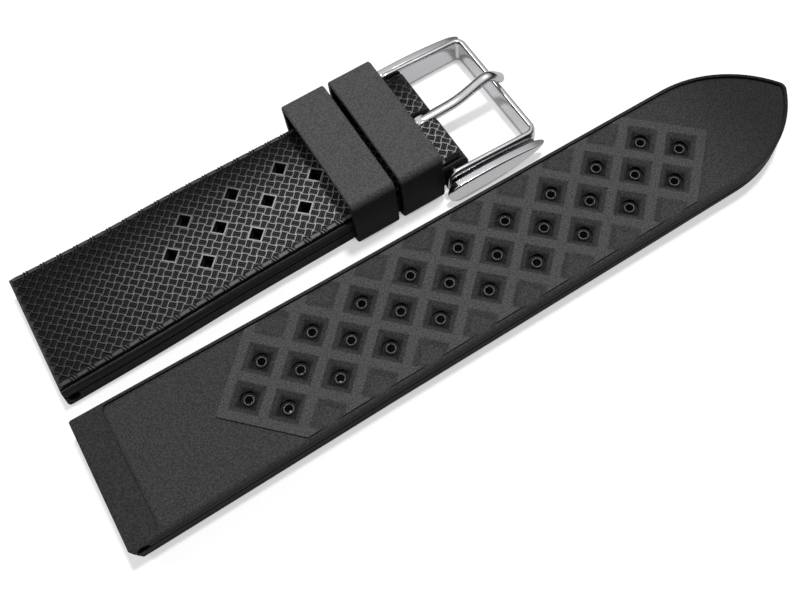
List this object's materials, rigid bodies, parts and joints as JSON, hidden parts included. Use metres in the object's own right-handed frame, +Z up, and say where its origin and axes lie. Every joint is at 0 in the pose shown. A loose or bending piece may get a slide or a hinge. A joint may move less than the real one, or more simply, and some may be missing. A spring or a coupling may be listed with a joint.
{
  "type": "rubber dive strap",
  "caption": "Moulded rubber dive strap in two halves, with waffle-pattern underside, two sliding keeper loops and a steel pin buckle on a sprung bar.",
  "frame": {"origin": "middle of the outline of the pair, on the surface that it lies on", "axes": "+X from the lug ends to the free ends, +Y from the tip half to the buckle half, +Z up"},
  "size_m": [0.1224, 0.0515, 0.0115],
  "materials": {
    "strap_rubber": "moulded black synthetic rubber, woven relief on the outer face, satin",
    "keeper_rubber": "moulded black synthetic rubber, plain, fine matt grain",
    "buckle_steel": "polished stainless steel",
    "bar_steel": "turned stainless steel",
    "spring_steel": "drawn spring wire"
  },
  "bodies": {
    "buckle_strap": {"buckle_half": "strap_rubber", "spring_bar_tube": "bar_steel", "spring_bar_coil": "spring_steel"},
    "tip_strap": {"tip_half": "strap_rubber"},
    "keeper_buckle_side": {"keeper_buckle_side": "keeper_rubber"},
    "keeper_free": {"keeper_free": "keeper_rubber"},
    "buckle_frame": {"buckle_frame": "buckle_steel"},
    "buckle_tongue": {"buckle_tongue": "buckle_steel"},
    "plunger_near": {"spring_bar_plunger_near": "bar_steel"},
    "plunger_far": {"spring_bar_plunger_far": "bar_steel"}
  },
  "joints": [
    {"name": "keeper_buckle_side_slide", "type": "slide", "parent": "buckle_strap", "child": "keeper_buckle_side", "axis": [1, 0, 0], "range_m": [-0.007, 0]},
    {"name": "keeper_free_slide", "type": "slide", "parent": "keeper_buckle_side", "child": "keeper_free", "axis": [1, 0, 0], "range_m": [-0.0065, 0.0007]},
    {"name": "buckle_frame_swing", "type": "hinge", "parent": "buckle_strap", "child": "buckle_frame", "pos_m": [0.0088, 0.01215, 0.00355], "axis": [0, 1, 0], "range_deg": [-30, 0]},
    {"name": "buckle_tongue_swing", "type": "hinge", "parent": "buckle_frame", "child": "buckle_tongue", "pos_m": [0.0088, 0.01215, 0.00355], "axis": [0, 1, 0], "range_deg": [-40, 0]},
    {"name": "plunger_near_slide", "type": "slide", "parent": "buckle_strap", "child": "plunger_near", "axis": [0, 1, 0], "range_m": [0, 0.0013], "stiffness_N_per_m": 500, "springref_m": -0.001, "deforming": ["spring_bar_coil"]},
    {"name": "plunger_far_slide", "type": "slide", "parent": "buckle_strap", "child": "plunger_far", "axis": [0, -1, 0], "range_m": [0, 0.0013], "stiffness_N_per_m": 500, "springref_m": -0.001, "deforming": ["spring_bar_coil"]},
    {"name": "tip_half_lift", "type": "slide", "parent": "buckle_strap", "child": "tip_strap", "axis": [0, 0, 1], "range_m": [0, 0.03]}
  ]
}
